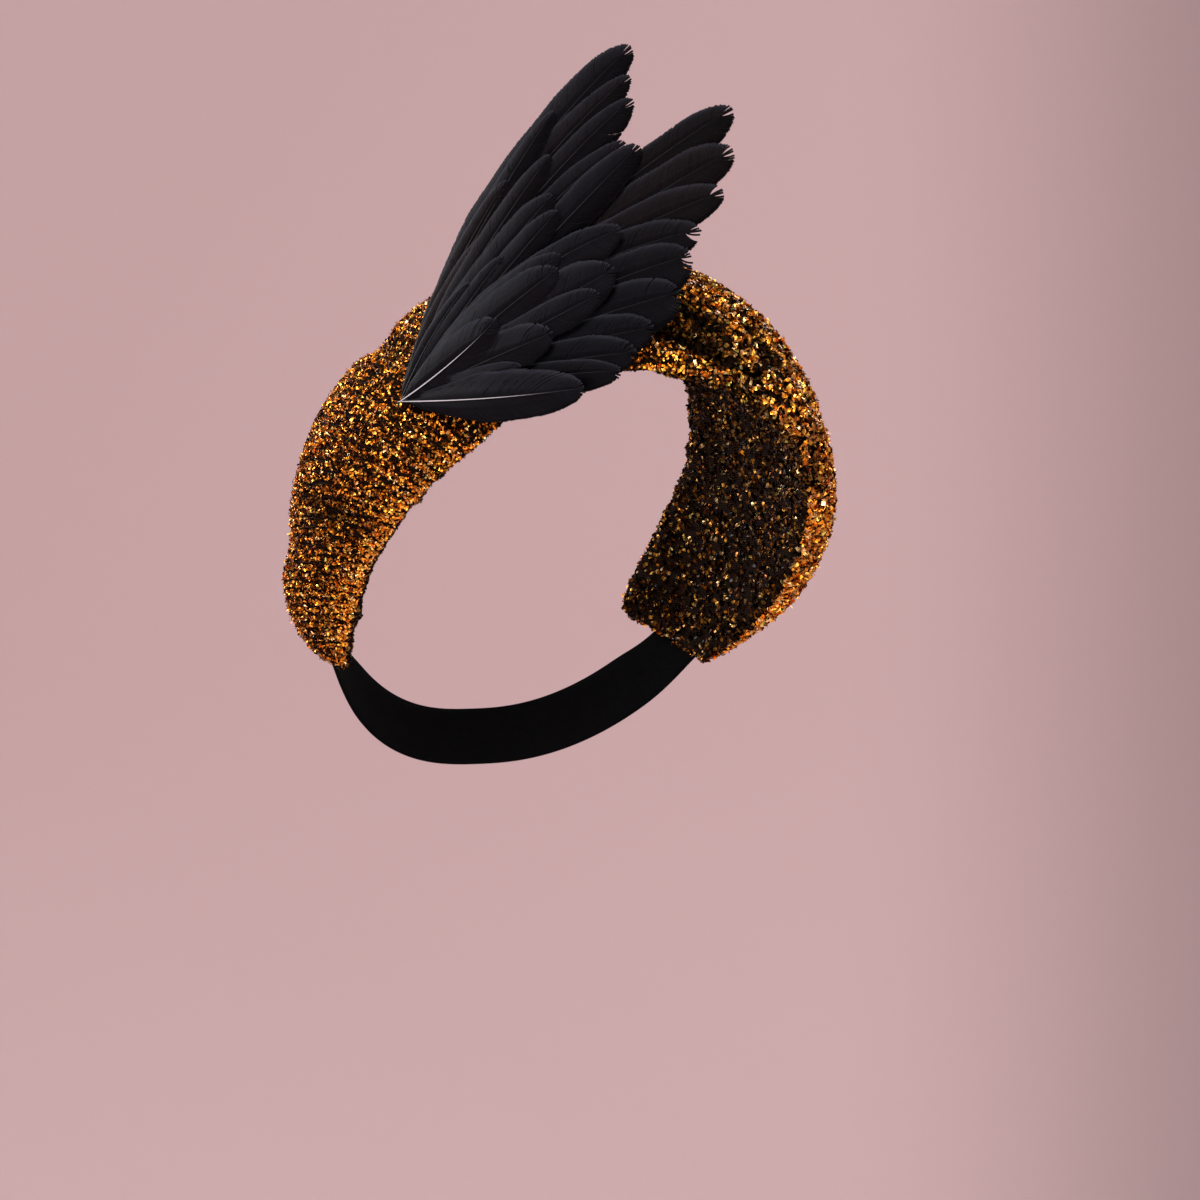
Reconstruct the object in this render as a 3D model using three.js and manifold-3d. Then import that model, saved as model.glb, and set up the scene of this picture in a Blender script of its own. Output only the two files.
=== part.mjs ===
// A fascinator made on a padded headband. A fat halo of tinsel knit lies across the crown and down behind both
// ears, a pair of black feather wings is sewn to its right front, and a black elastic closes it round the nape.
// Millimetres, +Z up. The wearer faces -Y, and the origin is where the band's inside rests on the crown.
import * as THREE from "three";
import Module from "manifold-3d";

const wasm = await Module();
wasm.setup();

// The head that the band is shaped on, a rounded block whose highest point is the origin. A power of 2 would
// make it an ellipsoid.
const HEAD = { halfWidth: 73.5, halfLength: 93, halfHeight: 106, power: 2.4 };

// The band, by angle in degrees round the Y axis from the crown, negative on the wearer's right. front and back
// are where its edges lie along Y, and lift is how far the padding stands off the head.
const BAND_ROWS = [
  { angle: -99, front: 45, back: 78, lift: 18 },
  { angle: -90, front: 31, back: 77, lift: 21 },
  { angle: -76, front: 10, back: 74, lift: 25 },
  { angle: -62, front: -18, back: 62, lift: 27 },
  { angle: -46, front: -46, back: 46, lift: 30 },
  { angle: -26, front: -61, back: 24, lift: 25 },
  { angle: 0, front: -70, back: 10, lift: 22 },
  { angle: 22, front: -72, back: 12, lift: 18.5 },
  { angle: 40, front: -64, back: 30, lift: 18 },
  { angle: 56, front: -48, back: 52, lift: 23 },
  { angle: 70, front: -30, back: 66, lift: 27 },
  { angle: 84, front: -4, back: 72, lift: 24 },
  { angle: 97, front: 36, back: 74, lift: 17 },
];
const BAND = {
  stations: 72,
  outerSteps: 20,
  innerSteps: 6,
  fullness: 2.3,
  rise: 0.62,
  leastHeight: 0.35,
  degreesAcross: 30,
  endRound: 14,
  endWidth: 0.85,
  endLift: 0.65,
  endSlant: 7,
  slantFade: 30,
};

// The gathers in the padding. Each is a valley between two places, given by angle and by across, which is -1 at
// the front edge and 1 at the back one. depth is in millimetres and width in degrees.
const FOLDS = [
  { name: "gather by the wings", angle: [-8, 20], across: [-0.72, -0.84], depth: 6, width: 4.5 },
  { name: "tuck above it", angle: [14, 25], across: [-0.45, -0.8], depth: 4, width: 4 },
  { name: "tuck by the left temple", angle: [44, 51], across: [-0.7, -0.9], depth: 3, width: 4 },
  { name: "dimple at the wings' root", angle: [-50, -43], across: [-0.55, -0.7], depth: 3.5, width: 9 },
  { name: "dent over the right ear", angle: [-68, -72], across: [-0.5, 0.5], depth: 3, width: 6 },
  { name: "crease in front of it", angle: [-56, -66], across: [-0.8, -0.55], depth: 2.5, width: 4 },
];

// The elastic round the nape. dip is how far its middle lies below its ends, with a curve of that power, and it
// stands off the head by off at the nape and by offEnd at the band's ends, mostly close to them.
const STRAP = {
  width: 21,
  thickness: 1.8,
  stations: 44,
  gapDegrees: 1.5,
  settle: 0.12,
  dip: 34,
  dipPower: 2.6,
  off: 0.6,
  offEnd: 5.5,
  offPower: 5,
};

// The wings lie on one bowed sheet that faces a viewer standing at the wearer's right front. root is where the
// quills meet, lean and turn are how far the sheet falls back for each millimetre up and to the side, curl and
// wrap are its radii in those two directions, and roll is how far a feather's edges lie above and below its shaft.
// A feather opens from its quill between the two shares of its length in opening, and its stations crowd to
// the tip.
const WING = {
  facing: 27,
  root: [-81.5, -28.5, -34],
  lean: 0.24,
  turn: -0.42,
  curl: 500,
  wrap: 140,
  thickness: 0.6,
  roll: 0.5,
  quill: 0.8,
  opening: [0.02, 0.5],
  stations: 10,
  crowding: 1.7,
  bluntest: 0.1,
  finest: 0.02,
};

// Where the wings press the padding in: a strip of the sheet from the root to a place to the side and up.
const PRESSED = { side: 86, up: 22, radius: 17, fade: 12, clear: 1.8 };

// The feathers, by where each tip lies to the side of the root and above it. left and right are the widths of
// the two vanes, bend is how far the shaft bows to the left, and blunt is where along it the tip starts to round.
const LEFT_FLIGHT = [
  { side: 77.4, up: 122.9, left: 4.6, right: 6.7, bend: 8.3, blunt: 0.7 },
  { side: 78.2, up: 114.2, left: 4.6, right: 7.5, bend: 7.5, blunt: 0.75 },
  { side: 78.2, up: 105.3, left: 4.2, right: 8.3, bend: 5.8, blunt: 0.8 },
  { side: 75.2, up: 88.9, left: 4.6, right: 8.3, bend: 5.8, blunt: 0.8 },
  { side: 79.9, up: 87.7, left: 6.3, right: 6.7, bend: 0.4, blunt: 0.8 },
];
const RIGHT_FLIGHT = [
  { side: 112.2, up: 102.2, left: 5.4, right: 8.3, bend: 4.2, blunt: 0.85 },
  { side: 112.5, up: 86.7, left: 5.8, right: 8.3, bend: 4.6, blunt: 0.85 },
  { side: 108.4, up: 70.9, left: 5.4, right: 7.5, bend: 6.7, blunt: 0.85 },
  { side: 102.8, up: 60.2, left: 5, right: 8.3, bend: 8.3, blunt: 0.85 },
  { side: 97.3, up: 49.9, left: 5, right: 6.7, bend: 4.6, blunt: 0.85 },
  { side: 93.6, up: 37, left: 5.8, right: 7.9, bend: 2.5, blunt: 0.85 },
  { side: 84.7, up: 24.9, left: 5, right: 6.7, bend: 2.1, blunt: 0.8 },
  { side: 78.8, up: 16.3, left: 5, right: 5.8, bend: 2.1, blunt: 0.8 },
  { side: 73.7, up: 9.9, left: 4.2, right: 4.6, bend: 1.7, blunt: 0.75 },
];
const LEFT_COVERTS = [
  { side: 50.9, up: 99.7, left: 3.8, right: 5.4, bend: 3.3, blunt: 0.7 },
  { side: 35, up: 75.2, left: 3.3, right: 4.6, bend: 2.5, blunt: 0.7 },
  { side: 29.2, up: 57.5, left: 2.9, right: 3.3, bend: 2.5, blunt: 0.7 },
  { side: 50, up: 84.2, left: 4.2, right: 5, bend: 2.1, blunt: 0.7 },
  { side: 50.9, up: 70.1, left: 5.4, right: 5.4, bend: 2.1, blunt: 0.8 },
  { side: 52.5, up: 64.6, left: 5, right: 5.4, bend: 0.4, blunt: 0.75 },
  { side: 34.2, up: 48.8, left: 3.3, right: 3.8, bend: 0.4, blunt: 0.75 },
  { side: 22.9, up: 40, left: 2.5, right: 2.5, bend: 1.7, blunt: 0.6 },
];
const RIGHT_COVERTS = [
  { side: 73.8, up: 58.4, left: 5.4, right: 8.3, bend: 6.3, blunt: 0.8 },
  { side: 71.3, up: 44.2, left: 8.8, right: 8.8, bend: 0.8, blunt: 0.8 },
  { side: 66.7, up: 35.9, left: 5.8, right: 5.8, bend: 0, blunt: 0.8 },
  { side: 53.4, up: 49.2, left: 5, right: 5, bend: 2.5, blunt: 0.75 },
  { side: 52.5, up: 44.2, left: 7.1, right: 5.8, bend: 0.8, blunt: 0.75 },
  { side: 50.9, up: 22.5, left: 7.1, right: 6.7, bend: 0.4, blunt: 0.75 },
  { side: 40.4, up: 11.3, left: 3.3, right: 4.2, bend: 0.4, blunt: 0.7 },
  { side: 61.3, up: 4.2, left: 9.2, right: 6.3, bend: -2.1, blunt: 0.6 },
  { side: 32.1, up: 27.1, left: 7.1, right: 6.3, bend: -1.3, blunt: 0.6 },
];

// How far each fan of feathers lies above the sheet that the wings are built on, nearest the head first.
const FANS = [
  { name: "right_flight_feathers", rows: RIGHT_FLIGHT, above: 1.1 },
  { name: "left_flight_feathers", rows: LEFT_FLIGHT, above: 2.6 },
  { name: "left_coverts", rows: LEFT_COVERTS, above: 4.1 },
  { name: "right_coverts", rows: RIGHT_COVERTS, above: 5.2 },
];

const knit = new THREE.MeshStandardMaterial({ color: 0xa86a1c, roughness: 0.35, metalness: 0.9 });
const elastic = new THREE.MeshStandardMaterial({ color: 0x101010, roughness: 0.8, metalness: 0 });
const feather = new THREE.MeshStandardMaterial({ color: 0x141519, roughness: 0.5, metalness: 0 });

// A value of a table's column between its rows, on a smooth curve through them.
function between(rows, key, column, at) {
  const last = rows.length - 1;
  let i = 0;
  while (i < last - 1 && at > rows[i + 1][key]) i += 1;
  const span = rows[i + 1][key] - rows[i][key];
  const t = THREE.MathUtils.clamp((at - rows[i][key]) / span, 0, 1);
  const slope = (k) => {
    const a = Math.max(k - 1, 0);
    const b = Math.min(k + 1, last);
    return ((rows[b][column] - rows[a][column]) / (rows[b][key] - rows[a][key])) * span;
  };
  const ends = [rows[i][column], rows[i + 1][column]];
  const [t2, t3] = [t * t, t * t * t];
  const blend = (2 * t3 - 3 * t2 + 1) * ends[0] + (3 * t2 - 2 * t3) * ends[1];
  return blend + (t3 - 2 * t2 + t) * slope(i) + (t3 - t2) * slope(i + 1);
}

// One closed solid through rings of points, with a fan over each end.
function skin(rings) {
  const count = rings[0].length;
  const points = rings.flat();
  const faces = [];
  for (let i = 0; i < rings.length - 1; i += 1) {
    for (let j = 0; j < count; j += 1) {
      const [a, b] = [i * count + j, i * count + ((j + 1) % count)];
      faces.push(a, b, b + count, a, b + count, a + count);
    }
  }
  [0, rings.length - 1].forEach((i) => {
    const centre = rings[i].reduce((sum, p) => sum.add(p), new THREE.Vector3()).divideScalar(count);
    points.push(centre);
    for (let j = 0; j < count; j += 1) {
      const [a, b] = [i * count + j, i * count + ((j + 1) % count)];
      if (i === 0) faces.push(points.length - 1, b, a);
      else faces.push(points.length - 1, a, b);
    }
  });
  let volume = 0;
  for (let k = 0; k < faces.length; k += 3) {
    const [p, q, r] = [points[faces[k]], points[faces[k + 1]], points[faces[k + 2]]];
    volume += p.dot(q.clone().cross(r));
  }
  if (volume < 0) faces.reverse();
  const geometry = new THREE.BufferGeometry().setFromPoints(points);
  geometry.setIndex(faces);
  return geometry;
}

// The way out of the head at a point of its surface, and the point that far off it.
function offHead(point, height) {
  const away = (value, half) => (Math.sign(value) * Math.abs(value / half) ** (HEAD.power - 1)) / half;
  const out = new THREE.Vector3(
    away(point.x, HEAD.halfWidth),
    away(point.y, HEAD.halfLength),
    away(point.z, HEAD.halfHeight),
  ).normalize();
  const moved = point.clone().addScaledVector(out, height);
  moved.z -= HEAD.halfHeight;
  return moved;
}

// How far out a point is from the middle of the head, where 1 is on its surface.
function headLevel({ x, y, z }) {
  const share = (value, half) => Math.abs(value / half) ** HEAD.power;
  return (share(x, HEAD.halfWidth) + share(y, HEAD.halfLength) + share(z, HEAD.halfHeight)) ** (1 / HEAD.power);
}

// The head's surface at an angle round the Y axis and a place along Y, from the middle of the head.
function headAcross(angle, y) {
  const [sin, cos] = [Math.sin(angle), Math.cos(angle)];
  const room = 1 - Math.min(Math.abs(y / HEAD.halfLength), 0.999) ** HEAD.power;
  const share = Math.abs(sin / HEAD.halfWidth) ** HEAD.power + Math.abs(cos / HEAD.halfHeight) ** HEAD.power;
  const r = (room / share) ** (1 / HEAD.power);
  return new THREE.Vector3(r * sin, y, r * cos);
}

// The head's surface at a height and an angle round the Z axis from the nape.
function headRound(angle, height) {
  const [sin, cos] = [Math.sin(angle), Math.cos(angle)];
  const z = height + HEAD.halfHeight;
  const room = 1 - Math.abs(z / HEAD.halfHeight) ** HEAD.power;
  const k = (room / (Math.abs(sin) ** HEAD.power + Math.abs(cos) ** HEAD.power)) ** (1 / HEAD.power);
  return new THREE.Vector3(HEAD.halfWidth * k * sin, HEAD.halfLength * k * cos, z);
}

const facing = THREE.MathUtils.degToRad(WING.facing);
const sideways = new THREE.Vector3(Math.cos(facing), -Math.sin(facing), 0);
const away = new THREE.Vector3(Math.sin(facing), Math.cos(facing), 0);

// How far the sheet that the wings lie on falls back from the root's own depth.
function sheetDepth(side, up) {
  return WING.lean * up + up ** 2 / (2 * WING.curl) + WING.turn * side + side ** 2 / (2 * WING.wrap);
}

// Where a point of the wings is, from its place to the side of the root, up from it and above the sheet.
function onWing(side, up, above) {
  return new THREE.Vector3(...WING.root)
    .addScaledVector(sideways, side)
    .addScaledVector(away, sheetDepth(side, up) - above)
    .add(new THREE.Vector3(0, 0, up));
}

// A point of the padding, pushed back behind the wings where they lie on it.
function pressed(point) {
  const from = point.clone().sub(new THREE.Vector3(...WING.root));
  const here = new THREE.Vector2(from.dot(sideways), from.z);
  const run = new THREE.Vector2(PRESSED.side, PRESSED.up);
  const along = THREE.MathUtils.clamp(here.dot(run) / run.lengthSq(), 0, 1);
  const distance = here.distanceTo(run.multiplyScalar(along));
  const share = 1 - THREE.MathUtils.smoothstep(distance, PRESSED.radius, PRESSED.radius + PRESSED.fade);
  const proud = sheetDepth(here.x, here.y) - from.dot(away) + PRESSED.clear;
  return point.clone().addScaledVector(away, Math.max(proud, 0) * share);
}

// How deep the gathers press the padding in at one place.
function foldDepth(angle, across) {
  const inDegrees = (degrees, share) => new THREE.Vector2(degrees, share * BAND.degreesAcross);
  return FOLDS.reduce((sum, fold) => {
    const start = inDegrees(fold.angle[0], fold.across[0]);
    const run = inDegrees(fold.angle[1], fold.across[1]).sub(start);
    const here = inDegrees(angle, across).sub(start);
    const along = THREE.MathUtils.clamp(here.dot(run) / run.lengthSq(), 0, 1);
    const distance = here.distanceTo(run.multiplyScalar(along));
    return sum + fold.depth * Math.exp(-((distance / fold.width) ** 2));
  }, 0);
}

// The band's section at an angle: where a point is that lies part of the way across it and stands off the head.
function bandSection(degrees) {
  const [first, last] = [BAND_ROWS[0].angle, BAND_ROWS.at(-1).angle];
  const toEnd = Math.min(degrees - first, last - degrees);
  const past = Math.max(1 - toEnd / BAND.endRound, 0);
  const round = Math.sqrt(Math.max(1 - past * past, 0));
  const slant = Math.sign(-degrees) * BAND.endSlant * Math.max(1 - toEnd / BAND.slantFade, 0) ** 2;
  const front = between(BAND_ROWS, "angle", "front", degrees);
  const back = between(BAND_ROWS, "angle", "back", degrees);
  const half = ((back - front) / 2) * THREE.MathUtils.lerp(BAND.endWidth, 1, round);
  const lift = between(BAND_ROWS, "angle", "lift", degrees) * THREE.MathUtils.lerp(BAND.endLift, 1, round);
  const place = (across, height) => {
    const angle = THREE.MathUtils.degToRad(degrees + slant * across);
    return offHead(headAcross(angle, (front + back) / 2 + half * across), height);
  };
  return { lift, place };
}

function bandRing(degrees) {
  const { lift, place } = bandSection(degrees);
  const ring = [];
  for (let j = 0; j <= BAND.outerSteps; j += 1) {
    const across = -Math.cos((Math.PI * j) / BAND.outerSteps);
    const dome = (1 - Math.abs(across) ** BAND.fullness) ** BAND.rise;
    const height = Math.max(lift * dome - foldDepth(degrees, across), lift * dome * BAND.leastHeight);
    ring.push(pressed(place(across, height)));
  }
  for (let j = 1; j < BAND.innerSteps; j += 1) ring.push(place(1 - (2 * j) / BAND.innerSteps, 0));
  return ring;
}

function bandGeometry() {
  const rings = [];
  for (let i = 0; i <= BAND.stations; i += 1) {
    rings.push(bandRing(THREE.MathUtils.lerp(BAND_ROWS[0].angle, BAND_ROWS.at(-1).angle, i / BAND.stations)));
  }
  return skin(rings);
}

// One feather, flat on the sheet: a blade with a ridge along its shaft, rolled so that its left vane lies over
// its neighbour and its right vane lies under the next.
function bladeGeometry(row, above) {
  const tip = new THREE.Vector2(row.side, row.up);
  const leftward = new THREE.Vector2(-row.up, row.side).normalize();
  const bow = tip.clone().multiplyScalar(0.5).addScaledVector(leftward, 2 * row.bend);
  const shaft = new THREE.QuadraticBezierCurve(new THREE.Vector2(), bow, tip);
  const rings = [];
  for (let i = 0; i <= WING.stations; i += 1) {
    const t = 1 - (1 - i / WING.stations) ** WING.crowding;
    const at = shaft.getPoint(t);
    const heading = shaft.getTangent(t);
    const spread = THREE.MathUtils.smoothstep(t, ...WING.opening);
    const past = Math.max(t - row.blunt, 0) / (1 - row.blunt);
    const tipRound = Math.max(Math.sqrt(1 - past * past), WING.bluntest);
    const vane = (width) => (WING.quill + (width - WING.quill) * spread) * tipRound;
    const roll = WING.roll * spread;
    const left = [at.x - heading.y * vane(row.left), at.y + heading.x * vane(row.left), above + roll];
    const right = [at.x + heading.y * vane(row.right), at.y - heading.x * vane(row.right), above - roll];
    rings.push([
      new THREE.Vector3(...left),
      new THREE.Vector3(at.x, at.y, above + WING.thickness / 2),
      new THREE.Vector3(...right),
      new THREE.Vector3(at.x, at.y, above - WING.thickness / 2),
    ]);
  }
  return skin(rings);
}

function asManifold(geometry) {
  const vertProperties = Float32Array.from(geometry.getAttribute("position").array);
  const triVerts = Uint32Array.from(geometry.index.array);
  return new wasm.Manifold(new wasm.Mesh({ numProp: 3, vertProperties, triVerts }));
}

// A fan of feathers whose quills run together at the root, fused into one solid and laid on the bowed sheet.
function fanGeometry({ rows, above }) {
  const fused = rows.map((row) => asManifold(bladeGeometry(row, above))).reduce((sum, blade) => sum.add(blade));
  const outside = fused.decompose().reduce((most, shell) => (shell.volume() > most.volume() ? shell : most));
  const { vertProperties, triVerts } = outside.simplify(WING.finest).getMesh();
  const points = [];
  for (let i = 0; i < vertProperties.length; i += 3) points.push(onWing(...vertProperties.slice(i, i + 3)));
  const geometry = new THREE.BufferGeometry().setFromPoints(points);
  geometry.setIndex(Array.from(triVerts));
  return geometry;
}

// Where the elastic starts at one end of the band, as an angle round the nape and a height, and which way its
// width lies there.
function strapEnd(row) {
  const degrees = row.angle + Math.sign(row.angle) * STRAP.gapDegrees;
  const point = headAcross(THREE.MathUtils.degToRad(degrees), (row.front + row.back) / 2);
  const { place } = bandSection(row.angle);
  return {
    turn: Math.atan2(point.x / HEAD.halfWidth, point.y / HEAD.halfLength),
    height: point.z - HEAD.halfHeight,
    widthways: place(1, 0).sub(place(-1, 0)).normalize(),
  };
}

// The elastic's way round the back of the head, from the band's right end to its left one.
function strapGeometry() {
  const ends = [strapEnd(BAND_ROWS[0]), strapEnd(BAND_ROWS.at(-1))];
  const centre = (share) => {
    const turn = 1 - 2 * share;
    const drop = STRAP.dip * (1 - Math.abs(turn) ** STRAP.dipPower);
    const level = THREE.MathUtils.lerp(ends[0].height, ends[1].height, share);
    return headRound(turn > 0 ? turn * ends[0].turn : -turn * ends[1].turn, level - drop);
  };
  const rings = [];
  const step = 1 / STRAP.stations;
  for (let i = 0; i <= STRAP.stations; i += 1) {
    const share = i * step;
    const here = centre(share);
    const heading = centre(Math.min(share + step, 1)).sub(centre(Math.max(share - step, 0)));
    const across = heading.cross(offHead(here, 1).sub(offHead(here, 0))).normalize();
    const sewn = ends[share < 0.5 ? 0 : 1].widthways.clone();
    if (sewn.dot(across) < 0) sewn.negate();
    const loose = THREE.MathUtils.smoothstep(Math.min(share, 1 - share), 0, STRAP.settle);
    const widthways = sewn.lerp(across, loose).normalize();
    const off = THREE.MathUtils.lerp(STRAP.off, STRAP.offEnd, Math.abs(1 - 2 * share) ** STRAP.offPower);
    const edge = (sign, height) => {
      const point = here.clone().addScaledVector(widthways, (sign * STRAP.width) / 2);
      return offHead(point.multiplyScalar(1 / headLevel(point)), height);
    };
    const outer = off + STRAP.thickness;
    rings.push([edge(1, off), edge(1, outer), edge(-1, outer), edge(-1, off)]);
  }
  return skin(rings);
}

const fascinator = new THREE.Group();

function addPiece(name, geometry, material) {
  geometry.computeVertexNormals();
  const mesh = new THREE.Mesh(geometry, material);
  mesh.name = name;
  fascinator.add(mesh);
}

addPiece("padded_band", bandGeometry(), knit);
addPiece("nape_elastic", strapGeometry(), elastic);
FANS.forEach((fan) => addPiece(fan.name, fanGeometry(fan), feather));

export default fascinator;
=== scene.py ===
"""A fascinator on a padded headband: gold tinsel knit, a pair of black feather wings and a nape elastic.

Blender works in metres, and the tables of the part are in millimetres, with +Z up. The wearer faces -Y,
and the origin is where the band's inside rests on the crown.
"""

import math

import bmesh
import bpy
import numpy as np
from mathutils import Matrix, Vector


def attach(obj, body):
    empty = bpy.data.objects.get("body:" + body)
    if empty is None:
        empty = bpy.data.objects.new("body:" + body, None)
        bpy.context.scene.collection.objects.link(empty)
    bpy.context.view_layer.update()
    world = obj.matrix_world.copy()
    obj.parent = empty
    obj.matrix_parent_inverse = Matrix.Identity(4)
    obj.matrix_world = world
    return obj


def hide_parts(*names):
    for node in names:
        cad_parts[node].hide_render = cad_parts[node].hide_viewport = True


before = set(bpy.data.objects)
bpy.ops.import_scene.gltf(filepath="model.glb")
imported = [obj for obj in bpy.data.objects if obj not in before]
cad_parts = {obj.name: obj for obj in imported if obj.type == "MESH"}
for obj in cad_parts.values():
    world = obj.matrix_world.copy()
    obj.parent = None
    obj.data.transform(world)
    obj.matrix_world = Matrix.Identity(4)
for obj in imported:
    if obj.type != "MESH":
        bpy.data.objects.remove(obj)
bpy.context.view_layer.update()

MM = 0.001
SEED = 27

# The head that the band is shaped on: a rounded block whose highest point is the origin.
HEAD_HALF = np.array((73.5, 93.0, 106.0))
HEAD_POWER = 2.4

# The cover of the padding. voxel is the size that it is remeshed at before it is blown up like a cushion,
# and cap is how far that may move a point. Points lower over the head than inside_level are the band's
# inside. inset is how far the cover draws in, to leave room for the foil. A crease leaves least_wall of the
# padding, and takes no more than most_of_wall of the rest. course and wale are the spacings of the knit.
COVER = {
    "voxel": 2.8,
    "pressure": 4.0,
    "frames": 16,
    "cap": 2.2,
    "inside_level": 1.2,
    "inset": 0.7,
    "least_wall": 2,
    "most_of_wall": 0.7,
    "course": 3.0,
    "wale": 2.2,
}

# The sharp creases in the knit, each between two places of it. depth is how far it is pinched in, width is
# how far it reaches to either side, and shade is how far the foil in it is darkened by painted shadow.
CREASES = [
    {"name": "by the wings", "start": (-4, -62, -4), "end": (20, -67, -16),
     "depth": 5.5, "width": 5, "shade": 1},
    {"name": "on from it", "start": (20, -67, -16), "end": (36, -64, -23),
     "depth": 4, "width": 3.4, "shade": 1},
    {"name": "above it", "start": (2, -60, 3), "end": (20, -64, -7),
     "depth": 3.4, "width": 4.6, "shade": 0.85},
    {"name": "left of it", "start": (36, -57, -6), "end": (45, -61, -19),
     "depth": 3.2, "width": 3.2, "shade": 0.95},
    {"name": "left temple", "start": (60, -57, -44), "end": (70, -47, -59),
     "depth": 2.6, "width": 3, "shade": 0.8},
    {"name": "left crown", "start": (46, -55, -12), "end": (54, -55, -24),
     "depth": 1.6, "width": 8, "shade": 0.1},
    {"name": "right ear", "start": (-96, 18, -64), "end": (-88, 4, -74),
     "depth": 3.2, "width": 6, "shade": 0.5},
    {"name": "front of it", "start": (-71, -33, -55), "end": (-70, -27, -62),
     "depth": 1.6, "width": 3, "shade": 0.3},
    {"name": "by the root", "start": (-80, -18, -14), "end": (-77, 14, -8),
     "depth": 6.5, "width": 6, "shade": 0.4},
]

# The foil in the knit, one row for each layer of it. size is a ribbon's length, and high is how far it stands
# off the cover. lean is how far its heading rises from the cover and roll how far its width does, in degrees.
# dim is the power that shares out its brightness at the wearer's right and at the left, and a high one leaves
# most of it dark. That brightness is partly the foil's own tone and partly painted glitter, which stands in
# for how much of the lamps each fleck catches.
TINSEL_ROWS = [
    {"name": "tinsel_under", "count": 33000, "size": (1.0, 2.0), "width": 0.5, "high": (0.05, 0.35),
     "lean": 22, "roll": 40, "curl": 0.9, "dim": (3.2, 5.5)},
    {"name": "tinsel_loops", "count": 32000, "size": (1.0, 2.0), "width": 0.6, "high": (0.3, 0.9),
     "lean": 32, "roll": 46, "curl": 1.4, "dim": (1.25, 0.7)},
    {"name": "tinsel_whiskers", "count": 1400, "size": (1.2, 2.6), "width": 0.3, "high": (0.8, 1.5),
     "lean": 60, "roll": 60, "curl": 2.2, "dim": (1, 1)},
]

# How a ribbon bends and twists along its length. curls_up is the share of the ribbons whose ends bend away
# from the cover. askew is crossed with the cover's normals, to find a direction that lies flat on it.
RIBBON = {
    "stations": 4,
    "least_curl": 0.25,
    "curls_up": 0.25,
    "twist": 0.5,
    "askew": np.array((0.31, 0.87, 0.38)),
}

# How the foil is shared out over the cover. Its look changes from the wearer's right to the left within turn
# of the middle. outside is where the cover comes to face out of the head, and roll_at, roll_reach and
# faces_front find the edge that rolls under at the front. ridge, length and reddening are each a steady part
# and one that changes over the cover or from ribbon to ribbon.
FOIL = {
    "turn": 40,
    "outside": (-0.35, 0.05),
    "roll_at": 0.1,
    "roll_reach": 0.4,
    "faces_front": (0.0, 0.5),
    "ridge": (0.55, 0.45),
    "sparse": 0.45,
    "more_on_roll": 0.9,
    "inside_share": 0.16,
    "length": (0.9, 0.5),
    "width": (0.6, 1.3),
    "inside_margin": 1,
    "inside_high": 0.12,
    # Painted light: how much brighter the foil on the rolled front edge is made, as if it caught more of the
    # lamps.
    "roll_painted_light": 0.82,
    "crease_reach": 1.5,
    "crease_shade": 0.97,
    "inside_bright": 0.2,
    "reddening": (0.72, 0.28),
}

# The colours that the foil takes, with how often each one comes at the wearer's right and at the left.
FOIL_COLOURS = [
    {"name": "amber", "colour": (1.0, 0.36, 0.026), "share": (0.43, 0.22)},
    {"name": "gold", "colour": (1.0, 0.5, 0.075), "share": (0.34, 0.5)},
    {"name": "copper", "colour": (0.75, 0.22, 0.018), "share": (0.12, 0.07)},
    {"name": "pale gold", "colour": (1.0, 0.7, 0.29), "share": (0.07, 0.17)},
    {"name": "green gold", "colour": (0.75, 0.6, 0.12), "share": (0.04, 0.04)},
]

# The sheet that the wings lie on, as in the solids.
WING = {
    "facing": math.radians(27),
    "root": np.array((-81.5, -28.5, -34.0)),
    "lean": 0.24,
    "turn": -0.42,
    "curl": 500.0,
    "wrap": 140.0,
    "quill": 0.8,
    "opening": (0.02, 0.5),
}

# How a feather is made of barbs. pitch is their spacing along the shaft, and angle is how they leave it. Its
# edges rise and fall by roll and its middle stands up by camber. layer is how far each feather of a fan lies
# above the one before it. bow is how a barb curves between the shaft and its end, onward and outward. The
# split values are where a vane parts, how far and over what length.
BARB = {
    "pitch": 0.5,
    "first": 0.05,
    "angle": math.radians(36),
    "tip_gap": 0.035,
    "stations": 5,
    "spread": 1.35,
    "thick": 0.08,
    "tilt": 0.02,
    "tilt_range": (0.3, 1.7),
    "roll": 0.17,
    "camber": 0.1,
    "camber_power": 2.6,
    "layer": 0.1,
    "bow": (0.36, 0.8),
    "taper_at": (0, 0.8, 1),
    "taper": (1, 0.85, 0.5),
    "fuller": (0.55, 0.85),
    "swept_from": 0.7,
    "most_splits": 2,
    "split_place": (0.6, 0.98),
    "split_depth": (0.15, 0.5),
    "split_reach": (1.5, 4),
    "ragged": 0.012,
    "wavy": 0.02,
    "waves": (20, 40),
    "uneven": 0.2,
    "uneven_from": 0.8,
    "furthest": 1.03,
    "blunt_end": 0.0025,
    "rough": 0.006,
}

# The shaft of a feather. thick and pale_thick multiply radius, which is given at the places along it in at.
# A pale shaft starts to darken at fade_from of its white length.
SHAFT = {
    "stations": 26,
    "sides": 6,
    "start": -0.012,
    "thick": 0.42,
    "pale_thick": 0.52,
    "at": (-0.02, 0.1, 0.5, 1),
    "radius": (0.2, 0.44, 0.28, 0.06),
    "lift": 0.02,
    "flat": 0.8,
    "fade_from": 0.55,
}

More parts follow.
